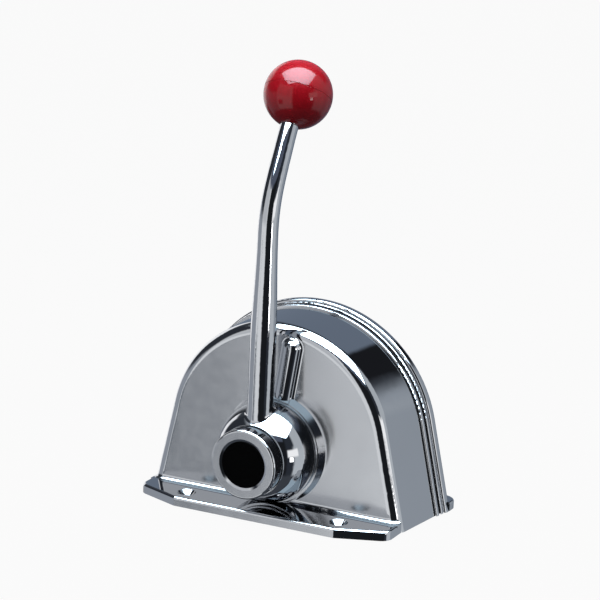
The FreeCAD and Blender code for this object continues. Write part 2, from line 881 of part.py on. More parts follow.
def round_edges(solid, radius, y):
    """Full circles of one radius about a Y axis at one depth."""
    found = []
    for edge in solid.Edges:
        box = edge.BoundBox
        in_plane = abs(box.YMin - y) < 0.01 and abs(box.YMax - y) < 0.01
        if in_plane and abs(box.XLength - 2 * radius) < 0.01:
            found.append(edge)
    return found


def lever():
    solid = hub_body().fuse(rod())
    solid = solid.makeFillet(rod_fillet, rod_foot_edges(solid))
    bore_back = hub_back_y + past
    end, along, _ = knob_place()
    cuts = [
        hub_cup(),
        bell_hollow(),
        pin_y(shaft_radius + fit_clearance, shaft_front_y, bore_back),
        pin_y(hub_bolt_radius + running_clearance, cup_floor_y - past, shaft_front_y + past),
        hub_key(fit_clearance),
        Part.makeCylinder(
            stud_radius + fit_clearance, stud_length + past, end - along * stud_length, along
        ),
    ]
    for cut in cuts:
        solid = solid.cut(cut)
    return solid


def rod_foot_edges(solid):
    """Edges where the rod comes out of the hub."""
    found = []
    for edge in solid.Edges:
        box = edge.BoundBox
        on_rod = max(box.XMax, -box.XMin) < rod_root_radius + past
        above_cup = box.ZMin > hub_height + cup_radius
        below_rim = box.ZMax < hub_height + bell_radius + past
        if on_rod and above_cup and below_rim:
            found.append(edge)
    return found


def key_block(front, back, clearance):
    """Square key that sits half in the shaft and half in what turns with it."""
    half = key_width / 2 + clearance
    low = hub_height + shaft_radius - key_depth - clearance
    high = low + key_height + 2 * clearance
    return block(Vector(-half, front - clearance, low), Vector(half, back + clearance, high))


def hub_key(clearance=0.0):
    return key_block(core_back_y - hub_key_length, core_back_y, clearance)


def drive_key(clearance=0.0):
    return key_block(wheel_front_y, drum_back_y, clearance)


def arm_key(clearance=0.0):
    return key_block(throttle_front_y, throttle_back_y, clearance)


def knob():
    end, along, centre = knob_place()
    ball = Part.makeSphere(knob_radius, centre)
    below = Part.makeCylinder(knob_radius, knob_radius, end - along * knob_radius, along)
    hole = Part.makeCylinder(stud_radius + fit_clearance, stud_length, end, along)
    seam = Part.makeTorus(knob_radius, knob_seam_radius, centre, along)
    return ball.cut(below).cut(hole).cut(seam)


def knob_stud():
    end, along, _ = knob_place()
    length = 2 * stud_length - 2 * fit_clearance
    return Part.makeCylinder(stud_radius, length, end - along * stud_length, along)


def hub_button():
    skirt_back = button_front_y + button_skirt
    inner = button_radius - button_wall
    groove_depth = 2 * seal_radius - seal_clearance
    groove_y = button_front_y + seal_setback
    cap = turned_y(
        [
            (0, button_front_y),
            (button_radius, button_front_y),
            (button_radius, skirt_back),
            (inner, skirt_back),
            (inner, button_front_y + button_wall),
            (0, button_front_y + button_wall),
        ]
    )
    cap = cap.makeFillet(button_edge_rounding, round_edges(cap, button_radius, button_front_y))
    half = seal_radius + seal_clearance
    groove = ring_y(button_radius + past, button_radius - groove_depth, groove_y - half, groove_y + half)
    return cap.cut(groove)


def button_seal():
    middle = button_radius + seal_clearance - seal_radius
    return Part.makeTorus(
        middle, seal_radius, Vector(0, button_front_y + seal_setback, hub_height), Vector(0, 1, 0)
    )


def button_spring():
    length = cup_floor_y - button_front_y - button_wall
    start = Vector(0, button_front_y + button_wall, hub_height)
    return spring(
        button_spring_wire, button_spring_radius, length, button_spring_turns, start, Vector(0, 1, 0)
    )


def hub_bolt():
    seat = cup_floor_y - hub_washer_thickness
    head = pin_y(hub_bolt_head_radius, seat - hub_bolt_head_height, seat)
    shank = pin_y(hub_bolt_radius, seat, seat + hub_bolt_length)
    corners = []
    for step in range(hub_bolt_socket_sides):
        angle = 2 * math.pi * step / hub_bolt_socket_sides
        corners.append(
            (hub_bolt_socket * math.cos(angle), hub_height + hub_bolt_socket * math.sin(angle))
        )
    front = seat - hub_bolt_head_height
    socket = plate_xz(corners, front - past, front + hub_bolt_socket_depth)
    return fuse_all([head, shank]).cut(socket)


def hub_washer():
    bore = hub_bolt_radius + running_clearance
    return ring_y(hub_washer_radius, bore, cup_floor_y - hub_washer_thickness, cup_floor_y)


def lever_shaft():
    solid = pin_y(shaft_radius, shaft_front_y, shaft_back_y)
    bolt_end = cup_floor_y - hub_washer_thickness + hub_bolt_length
    cuts = [pin_y(hub_bolt_radius + fit_clearance, shaft_front_y - past, bolt_end + past)]
    groove_inner = shaft_radius - ring_groove_depth
    cuts.append(ring_y(shaft_radius + past, groove_inner, ring_front_y, ring_front_y + ring_clip_thickness))
    cuts += [hub_key(fit_clearance), drive_key(fit_clearance), arm_key(fit_clearance)]
    for cut in cuts:
        solid = solid.cut(cut)
    return solid


def open_ring(outer, inner, front, back, x, z):
    """Retaining ring with a gap at the bottom."""
    ring = ring_y(outer, inner, front, back, x, z)
    gap = block(Vector(x - inner / 2, front - past, z - outer - past), Vector(x + inner / 2, back + past, z))
    return ring.cut(gap)


def shaft_ring():
    inner = shaft_radius - ring_groove_depth + fit_clearance
    outer = shaft_radius + ring_clip_height
    return open_ring(
        outer,
        inner,
        ring_front_y + fit_clearance,
        ring_front_y + ring_clip_thickness - fit_clearance,
        0,
        hub_height,
    )


def thrust_washer():
    return ring_y(
        core_radius, shaft_radius + running_clearance, core_back_y, core_back_y + thrust_washer_thickness
    )


def front_bushing():
    sleeve = pin_y(bush_radius, boss_front_y, boss_inner_y)
    collar = pin_y(bush_flange_radius, boss_front_y, boss_front_y + bush_flange_thickness)
    bore = pin_y(shaft_radius + running_clearance, boss_front_y - past, boss_inner_y + past)
    return fuse_all([sleeve, collar]).cut(bore)


def rear_bushing():
    back = plate_back_y + bush_flange_thickness
    sleeve = pin_y(bush_radius, plate_front_y, back)
    collar = pin_y(bush_flange_radius, plate_back_y, back)
    bore = pin_y(shaft_radius + running_clearance, plate_front_y - past, back + past)
    return fuse_all([sleeve, collar]).cut(bore)


def throttle_bracket_screws():
    inner = trunnion_radius + bracket_side_gap + bracket_thickness
    x = inner + bracket_foot_length / 2
    return [(x, trunnion_height + side * bracket_screw_spacing / 2) for side in (-1, 1)]


def shift_bracket_screws():
    inner = trunnion_radius + bracket_side_gap + bracket_thickness
    x = shift_pin_x - inner - bracket_foot_length / 2
    return [(x, trunnion_height + side * bracket_screw_spacing / 2) for side in (-1, 1)]


def guide_screws():
    x = (guide_left_x + guide_right_x) / 2
    half = shoe_half_height + guide_clearance + guide_wall + guide_screw_offset
    return [(x, hub_height + side * half) for side in (-1, 1)]


def mechanism_plate():
    low_x = standoff_low_x + plate_margin
    low_z = standoff_low_z - plate_margin
    high_x = standoff_high_x + plate_margin
    high_z = standoff_high_z + plate_margin
    foot_z = trunnion_height - bracket_half_height
    foot_x = shift_pin_x + trunnion_radius + bracket_side_gap
    points = [
        (-foot_x, foot_z),
        (foot_x, foot_z),
        (low_x, low_z),
        (low_x, standoff_low_z + plate_margin),
        (high_x, high_z),
        (-high_x, high_z),
        (-low_x, standoff_low_z + plate_margin),
        (-low_x, low_z),
    ]
    solid = plate_xz(points, plate_front_y, plate_back_y)
    upright = [edge for edge in solid.Edges if edge.BoundBox.YLength > plate_thickness / 2]
    solid = solid.makeFillet(plate_margin / 2, upright)
    holes = [(bush_radius + fit_clearance, 0.0, hub_height)]
    holes.append((stub_radius + fit_clearance, stub_x, stub_z))
    for x, z in standoff_places():
        holes.append((plate_screw_radius + fit_clearance, x, z))
    for x, z in throttle_bracket_screws() + shift_bracket_screws() + guide_screws():
        holes.append((bracket_screw_radius + fit_clearance, x, z))
    cuts = [pin_y(radius, plate_front_y - past, plate_back_y + past, x, z) for radius, x, z in holes]
    return solid.cut(group(cuts))


def standoffs():
    bars = []
    for x, z in standoff_places():
        bar = pin_y(standoff_radius, seat_top_y, plate_front_y, x, z)
        stud = pin_y(standoff_stud_radius, inner_face_y, seat_top_y, x, z)
        tapped = plate_screw_radius + fit_clearance
        hole = pin_y(tapped, plate_back_y - plate_screw_length - past, plate_front_y + past, x, z)
        bars.append(fuse_all([bar, stud]).cut(hole))
    return group(bars)


def screw_y(radius, head_radius, head_height, seat, tip, x, z):
    """Pan-head screw along Y: its head stands on the far side of the seat from its tip."""
    direction = 1 if seat > tip else -1
    head_end = seat + direction * head_height
    head = pin_y(head_radius, min(seat, head_end), max(seat, head_end), x, z)
    shank = pin_y(radius, min(seat, tip), max(seat, tip), x, z)
    slot_floor = head_end - direction * head_height / 2
    slot_end = head_end + direction * past
    slot = block(
        Vector(x - head_radius, min(slot_floor, slot_end), z - screw_slot_half_width),
        Vector(x + head_radius, max(slot_floor, slot_end), z + screw_slot_half_width),
    )
    return fuse_all([head, shank]).cut(slot)


def plate_screws():
    screws = []
    for x, z in standoff_places():
        tip = plate_back_y - plate_screw_length
        screws.append(
            screw_y(
                plate_screw_radius, plate_screw_head_radius, plate_screw_head_height, plate_back_y, tip, x, z
            )
        )
    return group(screws)


def bracket_screws():
    screws = []
    size = (bracket_screw_radius, bracket_screw_head_radius, bracket_screw_head_height)
    for x, z in throttle_bracket_screws():
        screws.append(screw_y(*size, plate_back_y + bracket_thickness, plate_front_y, x, z))
    for x, z in shift_bracket_screws() + guide_screws():
        screws.append(screw_y(*size, plate_front_y - bracket_thickness, plate_back_y, x, z))
    return group(screws)


def detent_wheel():
    disc = pin_y(detent_radius, wheel_front_y, wheel_back_y)
    collar = pin_y(detent_collar_radius, wheel_back_y, gear_front_y)
    solid = fuse_all([disc, collar])
    notch_radius = detent_ball_radius + detent_ball_gap
    reach = detent_radius + notch_radius - detent_notch_depth
    cuts = [pin_y(shaft_radius + fit_clearance, wheel_front_y - past, gear_front_y + past)]
    for step in (-1, 0, 1):
        angle = math.radians(step * detent_notch_angle)
        x = reach * math.sin(angle)
        z = hub_height + reach * math.cos(angle)
        cuts.append(pin_y(notch_radius, wheel_front_y - past, wheel_back_y + past, x, z))
    cuts.append(drive_key(fit_clearance))
    for cut in cuts:
        solid = solid.cut(cut)
    return solid


def detent_block():
    half = detent_block_width / 2
    body = block(Vector(-half, block_front_y, block_low_z), Vector(half, block_back_y, block_high_z))
    middle = (block_low_z + block_high_z) / 2
    ear_half = half + 2 * detent_screw_head_radius + detent_ear_margin
    ears = block(
        Vector(-ear_half, block_front_y, middle - detent_ear_height / 2),
        Vector(ear_half, block_front_y + detent_ear_thickness, middle + detent_ear_height / 2),
    )
    bore = detent_ball_radius + detent_bore_clearance
    solid = fuse_all([body, ears]).cut(pin_z(bore, block_low_z - past, block_high_z + past, 0, ball_y))
    for x, z in detent_screw_places():
        passage = pin_y(detent_screw_radius + fit_clearance, block_front_y - past, block_back_y, x, z)
        solid = solid.cut(passage)
    return solid


def detent_block_screws():
    screws = []
    for x, z in detent_screw_places():
        seat = block_front_y + detent_ear_thickness
        screws.append(
            screw_y(
                detent_screw_radius,
                detent_screw_head_radius,
                detent_screw_head_height,
                seat,
                seat - detent_screw_length,
                x,
                z,
            )
        )
    return group(screws)


def detent_ball():
    return Part.makeSphere(detent_ball_radius, Vector(0, ball_y, ball_z))


def detent_plug():
    """Slotted plug that loads the spring from the top of the block."""
    radius = detent_ball_radius + detent_bore_clearance - fit_clearance
    plug = pin_z(radius, block_high_z - detent_plug_length, block_high_z, 0, ball_y)
    slot_floor = block_high_z - detent_plug_slot_depth
    slot = block(
        Vector(-radius - past, ball_y - screw_slot_half_width, slot_floor),
        Vector(radius + past, ball_y + screw_slot_half_width, block_high_z + past),
    )
    return plug.cut(slot)


def detent_spring():
    """Spring between the ball and the plug; its first turn rests on the ball."""
    wire = detent_spring_wire
    seat = math.sqrt((detent_ball_radius + wire) ** 2 - detent_spring_radius**2) - wire
    start = Vector(0, ball_y, ball_z + seat)
    length = block_high_z - detent_plug_length - start.z
    return spring(wire, detent_spring_radius, length, detent_spring_turns, start, Vector(0, 0, 1))


def gear_solid(teeth, width, front, x, z, phase):
    """Spur gear about a Y axis. The phase is the angle of one tooth's middle, from +X towards +Z."""
    pitch_radius = gear_module * teeth / 2
    base_radius = pitch_radius * math.cos(math.radians(pressure_angle))
    tip_radius = pitch_radius + gear_module
    root_radius = pitch_radius - gear_dedendum * gear_module
    half_tooth = (math.pi * gear_module / 2 - gear_backlash / 2) / 2 / pitch_radius
    pitch_roll = math.tan(math.radians(pressure_angle)) - math.radians(pressure_angle)

    def flank(radius):
        """Half angle of the tooth at one radius."""
        if radius <= base_radius:
            return half_tooth + pitch_roll
        pressure = math.acos(base_radius / radius)
        return half_tooth + pitch_roll - (math.tan(pressure) - pressure)

    def place(radius, angle):
        return Vector(x + radius * math.cos(angle), front, z + radius * math.sin(angle))

    flank_start = max(base_radius, root_radius)
    flank_height = tip_radius - flank_start
    radii = [flank_start + flank_height * step / flank_steps for step in range(flank_steps + 1)]
    edges = []
    pitch_angle = 2 * math.pi / teeth
    for tooth in range(teeth):
        middle = math.radians(phase) + tooth * pitch_angle
        rising = [place(radius, middle - flank(radius)) for radius in radii]
        falling = [place(radius, middle + flank(radius)) for radius in reversed(radii)]
        root_in = place(root_radius, middle - flank(root_radius))
        root_out = place(root_radius, middle + flank(root_radius))
        next_in = place(root_radius, middle + pitch_angle - flank(root_radius))
        if root_radius < base_radius:
            edges.append(Part.LineSegment(root_in, rising[0]).toShape())
        curve = Part.BSplineCurve()
        curve.interpolate(rising)
        edges.append(curve.toShape())
        edges.append(Part.Arc(rising[-1], place(tip_radius, middle), falling[0]).toShape())
        curve = Part.BSplineCurve()
        curve.interpolate(falling)
        edges.append(curve.toShape())
        if root_radius < base_radius:
            edges.append(Part.LineSegment(falling[-1], root_out).toShape())
        root_middle = place(root_radius, middle + pitch_angle / 2)
        edges.append(Part.Arc(root_out, root_middle, next_in).toShape())
    face = Part.Face(Part.Wire(Part.__sortEdges__(edges)))
    return face.extrude(Vector(0, width, 0))


def drive_gear():
    teeth = gear_solid(drive_teeth, gear_width, gear_front_y, 0, hub_height, gear_line_angle)
    drum = pin_y(drum_radius, gear_back_y, drum_back_y)
    solid = fuse_all([teeth, drum])
    bore = pin_y(shaft_radius + fit_clearance, gear_front_y - past, drum_back_y + past)
    return solid.cut(bore).cut(drive_key(fit_clearance))


def rivet_places():
    places = []
    for step in range(rivet_count):
        angle = math.radians(360 * step / rivet_count + rivet_first_angle)
        x = stub_x + rivet_circle_radius * math.cos(angle)
        z = stub_z + rivet_circle_radius * math.sin(angle)
        places.append((x, z))
    return places


def shift_gear():
    half_pitch = 180 / shift_teeth
    phase = gear_line_angle + 180 + half_pitch
    solid = gear_solid(shift_teeth, gear_width, gear_front_y, stub_x, stub_z, phase)
    solid = solid.cut(
        pin_y(stub_radius + running_clearance, gear_front_y - past, gear_back_y + past, stub_x, stub_z)
    )
    for x, z in rivet_places():
        solid = solid.cut(pin_y(rivet_radius + fit_clearance, gear_front_y - past, gear_back_y + past, x, z))
    return solid


def crank(hub_radius, x, z, end_x, end_z, front, back):
    """Flat arm from a round hub to a round end at the crank pin, with tangent sides."""
    along = Vector(end_x - x, 0, end_z - z)
    length = along.Length
    along.normalize()
    across = Vector(-along.z, 0, along.x)
    sine = (hub_radius - arm_end_radius) / length
    cosine = math.sqrt(1 - sine**2)
    centre = Vector(x, front, z)
    end = centre + along * length
    left = along * sine + across * cosine
    right = along * sine - across * cosine
    points = [
        centre + left * hub_radius,
        end + left * arm_end_radius,
        end + right * arm_end_radius,
        centre + right * hub_radius,
    ]
    web = Part.Face(Part.makePolygon(points + [points[0]])).extrude(Vector(0, back - front, 0))
    hub = pin_y(hub_radius, front, back, x, z)
    tip = pin_y(arm_end_radius, front, back, end_x, end_z)
    return fuse_all([hub, tip, web])


def shift_arm():
    solid = crank(shift_hub_radius, stub_x, stub_z, shift_pin_x, stub_z, arm_front_y, arm_back_y)
    holes = [(stub_radius + running_clearance, stub_x, stub_z)]
    holes.append((swivel_pin_radius + running_clearance, shift_pin_x, stub_z))
    holes += [(rivet_radius + fit_clearance, x, z) for x, z in rivet_places()]
    for radius, x, z in holes:
        solid = solid.cut(pin_y(radius, arm_front_y - past, arm_back_y + past, x, z))
    return solid


def arm_rivets():
    rivets = []
    for x, z in rivet_places():
        shank = pin_y(rivet_radius, gear_front_y, arm_back_y, x, z)
        head = pin_y(rivet_head_radius, arm_back_y, arm_back_y + rivet_head_height, x, z)
        rivets.append(fuse_all([shank, head]))
    return group(rivets)


def shift_stub():
    ring_back = gear_front_y - stub_gap
    ring_front = ring_back - ring_clip_thickness
    pin = pin_y(stub_radius, ring_front - shaft_end_margin, plate_back_y, stub_x, stub_z)
    collar = pin_y(stub_collar_radius, arm_back_y + stub_gap, plate_front_y, stub_x, stub_z)
    hollow = stub_radius - ring_groove_depth
    groove = ring_y(stub_radius + past, hollow, ring_front, ring_back, stub_x, stub_z)
    clear_heads = ring_y(
        stub_collar_radius + past,
        rivet_circle_radius - rivet_head_radius - stub_gap,
        arm_back_y,
        arm_back_y + rivet_head_height + stub_gap,
        stub_x,
        stub_z,
    )
    return fuse_all([pin, collar]).cut(groove).cut(clear_heads)


def stub_ring():
    ring_back = gear_front_y - stub_gap
    return open_ring(
        stub_radius + ring_clip_height,
        stub_radius - ring_groove_depth + fit_clearance,
        ring_back - ring_clip_thickness + fit_clearance,
        ring_back - fit_clearance,
        stub_x,
        stub_z,
    )


def throttle_arm():
    solid = crank(
        throttle_arm_hub_radius, 0, hub_height, 0, throttle_pin_z, throttle_front_y, throttle_back_y
    )
    front, back = throttle_front_y - past, throttle_back_y + past
    bore = pin_y(shaft_radius + fit_clearance, front, back)
    eye = pin_y(swivel_pin_radius + running_clearance, front, back, 0, throttle_pin_z)
    return solid.cut(bore).cut(eye).cut(arm_key(fit_clearance))


def swivel(x, z, arm_front, arm_back, direction):
    """Cable end barrel beside an arm, on a pin through the arm's eye. Direction +1 is behind the arm."""
    near = arm_back if direction > 0 else arm_front
    far = arm_front if direction > 0 else arm_back
    start = near + direction * swivel_gap
    end = start + direction * swivel_length
    pin_end = far - direction * (clip_gap + clip_thickness + clip_margin)
    barrel = pin_y(swivel_radius, min(start, end), max(start, end), x, z)
    pin = pin_y(swivel_pin_radius, min(pin_end, start), max(pin_end, start), x, z)
    groove_near = far - direction * clip_gap
    groove_far = groove_near - direction * clip_thickness
    hollow = swivel_pin_radius - ring_groove_depth
    low, high = min(groove_near, groove_far), max(groove_near, groove_far)
    groove = ring_y(swivel_pin_radius + past, hollow, low, high, x, z)
    low_z = z - swivel_radius - past
    cable_hole = pin_z(swivel_hole_radius, low_z, z + swivel_radius + past, x, (start + end) / 2)
    return fuse_all([barrel, pin]).cut(groove).cut(cable_hole)


def swivel_clip(x, z, arm_front, arm_back, direction):
    far = arm_front if direction > 0 else arm_back
    near_end = far - direction * (clip_gap + fit_clearance)
    far_end = far - direction * (clip_gap + clip_thickness - fit_clearance)
    inner = swivel_pin_radius - ring_groove_depth + fit_clearance
    return open_ring(clip_radius, inner, min(near_end, far_end), max(near_end, far_end), x, z)


def cable_bracket(x, plate_face, far_inner, side, cable_direction):
    """U-shaped bracket: a foot on the plate with an eye in it, a side web and a far ear."""
    low = trunnion_height - bracket_half_height
    high = trunnion_height + bracket_half_height
    web_near = x + side * (trunnion_radius + bracket_side_gap)
    web_far = web_near + side * bracket_thickness
    foot_end = web_far + side * bracket_foot_length
    ear_end = x - side * (trunnion_radius + bracket_side_gap)
    foot_face = plate_face + cable_direction * bracket_thickness
    far_outer = far_inner + cable_direction * bracket_far_ear_thickness

    def slab(x1, x2, y1, y2):
        return block(Vector(min(x1, x2), min(y1, y2), low), Vector(max(x1, x2), max(y1, y2), high))

    foot = slab(foot_end, ear_end, plate_face, foot_face)
    web = slab(web_near, web_far, plate_face, far_outer)
    ear = slab(web_far, ear_end, far_inner, far_outer)
    solid = fuse_all([foot, web, ear])
    low_y = min(plate_face, far_outer) - past
    high_y = max(plate_face, far_outer) + past
    return solid.cut(pin_y(trunnion_pin_radius + running_clearance, low_y, high_y, x, trunnion_height))


def bracket_holes(places):
    """Passages for the screws through a bracket's foot, on either side of the plate."""
    radius = bracket_screw_radius + fit_clearance
    low_y = plate_front_y - bracket_thickness - past
    high_y = plate_back_y + bracket_thickness + past
    return group([pin_y(radius, low_y, high_y, x, z) for x, z in places])


def throttle_cable_bracket():
    return cable_bracket(*throttle_holder, 1, 1).cut(bracket_holes(throttle_bracket_screws()))


def shift_cable_bracket():
    return cable_bracket(*shift_holder, -1, -1).cut(bracket_holes(shift_bracket_screws()))


def trunnion(x, plate_face, far_inner, cable_direction, cable_y):
    """Barrel that clamps a cable's jacket and turns in the two eyes of its bracket."""
    foot_face = plate_face + cable_direction * bracket_thickness
    near = foot_face + cable_direction * trunnion_gap
    far = far_inner - cable_direction * trunnion_gap
    near_pin = plate_face + cable_direction * trunnion_gap
    far_pin = far_inner + cable_direction * bracket_far_ear_thickness
    barrel = pin_y(trunnion_radius, min(near, far), max(near, far), x, trunnion_height)
    pin = pin_y(trunnion_pin_radius, min(near_pin, far_pin), max(near_pin, far_pin), x, trunnion_height)
    low = trunnion_height - trunnion_radius - past
    high = trunnion_height + trunnion_radius + past
    return fuse_all([barrel, pin]).cut(pin_z(trunnion_hole_radius, low, high, x, cable_y))


def friction_guide():
    """Square tube on the plate that guides the shoe, with a tapped end wall and two feet."""
    half_height = shoe_half_height + guide_clearance + guide_wall
    front = shoe_y - shoe_half_width - guide_clearance - guide_wall
    body = block(
        Vector(guide_left_x, front, hub_height - half_height),
        Vector(guide_right_x, plate_front_y, hub_height + half_height),
    )
    middle = (guide_left_x + guide_right_x) / 2
    foot_half = half_height + guide_foot_reach
    feet = block(
        Vector(middle - bracket_screw_spacing / 2, plate_front_y - bracket_thickness, hub_height - foot_half),
        Vector(middle + bracket_screw_spacing / 2, plate_front_y, hub_height + foot_half),
    )
    half_width = shoe_half_width + guide_clearance
    half_channel = shoe_half_height + guide_clearance
    channel = block(
        Vector(guide_left_x + guide_wall, shoe_y - half_width, hub_height - half_channel),
        Vector(guide_right_x + past, shoe_y + half_width, hub_height + half_channel),
    )
    tapped = friction_screw_radius + fit_clearance
    hole = pin_x(tapped, guide_left_x - past, guide_left_x + guide_wall + past, shoe_y, hub_height)
    solid = fuse_all([body, feet]).cut(channel).cut(hole)
    for x, z in guide_screws():
        passage = bracket_screw_radius + fit_clearance
        solid = solid.cut(pin_y(passage, front, plate_front_y + past, x, z))
    return solid


def friction_shoe():
    shoe = block(
        Vector(shoe_left_x, shoe_y - shoe_half_width, hub_height - shoe_half_height),
        Vector(shoe_tip_x, shoe_y + shoe_half_width, hub_height + shoe_half_height),
    )
    return shoe.cut(pin_y(drum_radius + shoe_gap, gear_back_y - past, drum_back_y + past))


def friction_screw():
    inner_end = guide_left_x - friction_screw_head_height / 2 + friction_screw_length
    head_right = guide_left_x - friction_screw_head_height / 2
    head = pin_x(
        friction_screw_head_radius, head_right - friction_screw_head_height, head_right, shoe_y, hub_height
    )
    shank = pin_x(friction_screw_radius, head_right, inner_end, shoe_y, hub_height)
    head_left = head_right - friction_screw_head_height
    half = friction_screw_head_radius
    slot = block(
        Vector(head_left - past, shoe_y - half, hub_height - screw_slot_half_width),
        Vector((head_left + head_right) / 2, shoe_y + half, hub_height + screw_slot_half_width),
    )
    return fuse_all([head, shank]).cut(slot)


def friction_spring():
    start_x = guide_left_x - friction_screw_head_height / 2 + friction_screw_length
    length = shoe_left_x - start_x
    return spring(
        friction_spring_wire,
        friction_spring_radius,
        length,
        friction_spring_turns,
        Vector(start_x, shoe_y, hub_height),
        Vector(1, 0, 0),
    )


PIECES = {
    "front_housing": front_housing(),
    "rear_cover": rear_cover(),
    "housing_gasket": housing_gasket(),
    "cover_screws": cover_screws(),
    "lever": lever(),
    "knob": knob(),
    "knob_stud": knob_stud(),
    "hub_button": hub_button(),
    "button_seal": button_seal(),
    "button_spring": button_spring(),
    "hub_bolt": hub_bolt(),
    "hub_washer": hub_washer(),
    "hub_key": hub_key(),
    "lever_shaft": lever_shaft(),
    "shaft_ring": shaft_ring(),
    "thrust_washer": thrust_washer(),
    "front_bushing": front_bushing(),
    "rear_bushing": rear_bushing(),
    "mechanism_plate": mechanism_plate(),
    "standoffs": standoffs(),
    "plate_screws": plate_screws(),
    "bracket_screws": bracket_screws(),
    "detent_wheel": detent_wheel(),
    "detent_block": detent_block(),
    "detent_block_screws": detent_block_screws(),
    "detent_ball": detent_ball(),
    "detent_plug": detent_plug(),
    "detent_spring": detent_spring(),
    "drive_gear": drive_gear(),
    "drive_key": drive_key(),
    "shift_gear": shift_gear(),
    "shift_arm": shift_arm(),
    "arm_rivets": arm_rivets(),
    "shift_stub": shift_stub(),
    "stub_ring": stub_ring(),
    "throttle_arm": throttle_arm(),
    "arm_key": arm_key(),
    "throttle_swivel": swivel(*throttle_pin),
    "throttle_swivel_clip": swivel_clip(*throttle_pin),
    "shift_swivel": swivel(*shift_pin),
    "shift_swivel_clip": swivel_clip(*shift_pin),
    "throttle_cable_bracket": throttle_cable_bracket(),
    "shift_cable_bracket": shift_cable_bracket(),
    "throttle_trunnion": trunnion(*throttle_holder, 1, throttle_cable_y),
    "shift_trunnion": trunnion(*shift_holder, -1, shift_cable_y),
    "friction_guide": friction_guide(),
    "friction_shoe": friction_shoe(),
    "friction_screw": friction_screw(),
    "friction_spring": friction_spring(),
}

for node, shape in PIECES.items():
    save(shape, node)
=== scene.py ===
import json
import math

import bmesh
import bpy
from mathutils import Matrix, Vector


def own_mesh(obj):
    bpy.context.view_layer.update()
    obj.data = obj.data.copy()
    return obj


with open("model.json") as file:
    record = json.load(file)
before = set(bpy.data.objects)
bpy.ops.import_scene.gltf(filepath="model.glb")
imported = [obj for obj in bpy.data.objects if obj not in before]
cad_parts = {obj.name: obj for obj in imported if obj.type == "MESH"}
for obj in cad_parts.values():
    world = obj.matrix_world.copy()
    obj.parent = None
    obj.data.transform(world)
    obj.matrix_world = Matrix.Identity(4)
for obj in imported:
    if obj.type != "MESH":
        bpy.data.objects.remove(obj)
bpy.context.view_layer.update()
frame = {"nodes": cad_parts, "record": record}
nodes = frame["nodes"]

# Camera: the angle, roll and lens that put the object where the photograph has it. Angles start in
# degrees, lengths are in metres, and the lens and its sensor are in millimetres.
CAMERA_AZIMUTH = math.radians(26.45)
CAMERA_ELEVATION = math.radians(13.55)
CAMERA_ROLL = math.radians(1.93)
CAMERA_DISTANCE = 1.409
CAMERA_SIDE = 0.0181
CAMERA_RISE = 0.13784
FACE_Y = -0.0287
SENSOR_WIDTH = 36.0
LENS = 128.2
CAMERA_REACH = 60.0

# Chrome plate: tint, polish and relief. Scales are in waves per metre and heights in metres.
CHROME_COLOUR = (0.60, 0.61, 0.63)
CHROME_COLOUR_SPREAD = 0.015
CHROME_CLOUD_SCALE = 14.0
CHROME_CLOUD_DETAIL = 3.0
CHROME_MARK_SCALE = 160.0
CHROME_MARK_DETAIL = 5.0
CHROME_ROUGHNESS = (0.02, 0.04)
CHROME_FRONT_ROUGHNESS = (0.17, 0.20)
CHROME_FRONT_SPREAD = 0.004
CHROME_WAVE_SCALE = 22.0
CHROME_WAVE_DETAIL = 0.5
CHROME_WAVE_HEIGHT = 0.0002

# Other finishes: how deep their noise goes, how far their colour strays and how high their relief is
FINISH_DETAIL = 6.0
FINISH_COLOUR_SPREAD = 0.06
FINISH_RELIEF = 0.00005

# Where along the noise a colour or a roughness starts and stops changing
COLOUR_PLACES = (0.3, 0.7)
ROUGHNESS_PLACES = (0.25, 0.75)

# Floor, its radius in metres, and the even light that plain surfaces get from all sides
FLOOR_RADIUS = 14.0
FLOOR_SIDES = 96
FLOOR_COLOUR = (0.20, 0.20, 0.20, 1.0)
FLOOR_GLOW = 0.95
AMBIENT_COLOUR = (0.94, 0.96, 1.0)
AMBIENT_STRENGTH = 0.08

# Lamps for plain surfaces: name, place, width and depth in metres, and power in watts
LAMPS = (
    ("overhead", (0.12, -0.25, 1.2), (1.5, 1.15), 16.0),
    ("left_fill", (-1.2, -0.8, 0.6), (0.8, 0.8), 1.5),
)
LAMP_TARGET = (0.0, 0.0, 0.1)

